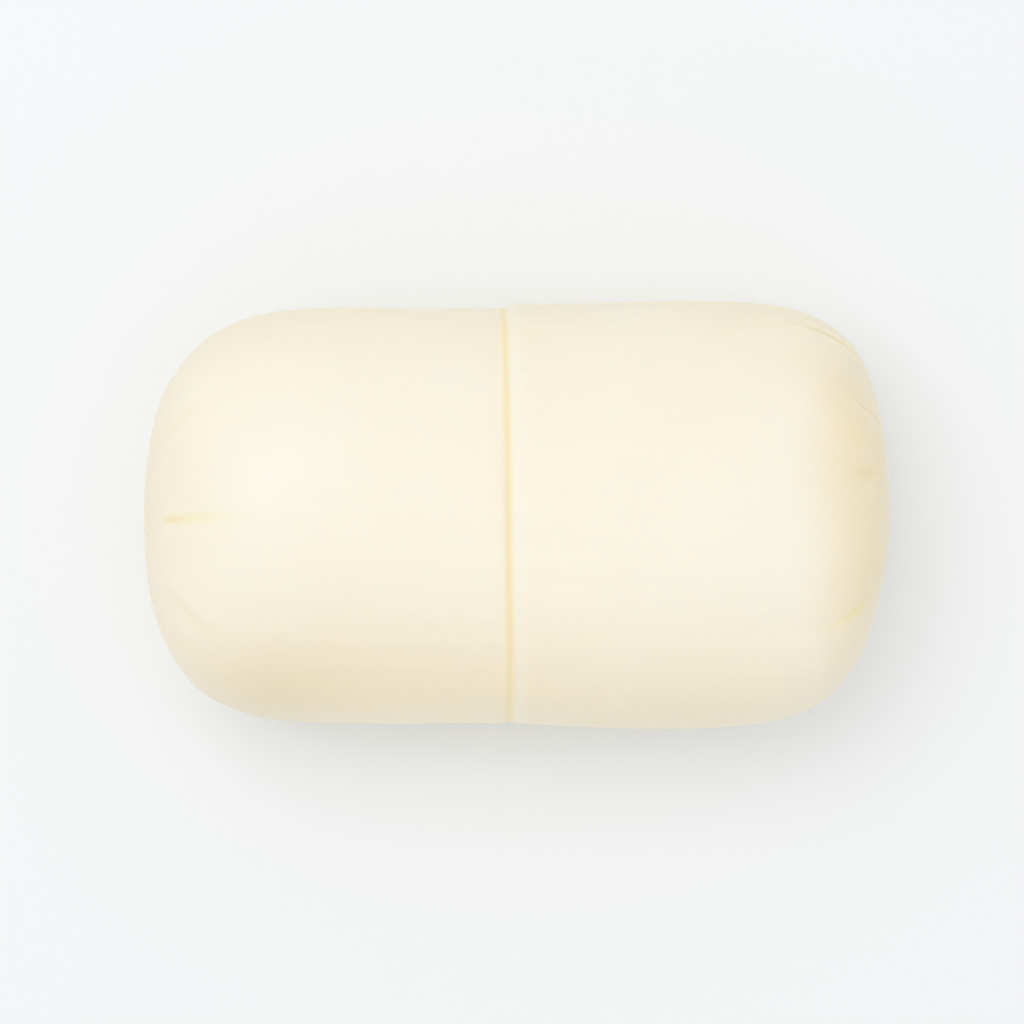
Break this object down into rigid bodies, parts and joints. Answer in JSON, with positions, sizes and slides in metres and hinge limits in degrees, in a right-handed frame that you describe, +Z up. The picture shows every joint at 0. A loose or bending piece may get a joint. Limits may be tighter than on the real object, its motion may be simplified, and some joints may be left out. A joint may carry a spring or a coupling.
{
  "type": "mozzarella loaf",
  "caption": "Cream-white loaf of mozzarella, a blunt log lying on a flat underside, creased once round its waist and pinched shut into pleats at both ends.",
  "frame": {"origin": "on the underside the loaf rests on, below the middle of its bounding box", "axes": "+X along the loaf towards its fuller end, +Y across it, +Z up from the resting face"},
  "size_m": [0.17, 0.0982, 0.078],
  "materials": {
    "curd": "moist satin cream-white curd, a little yellower in the creases"
  },
  "bodies": {
    "root": {"mozzarella": "curd"}
  },
  "joints": []
}
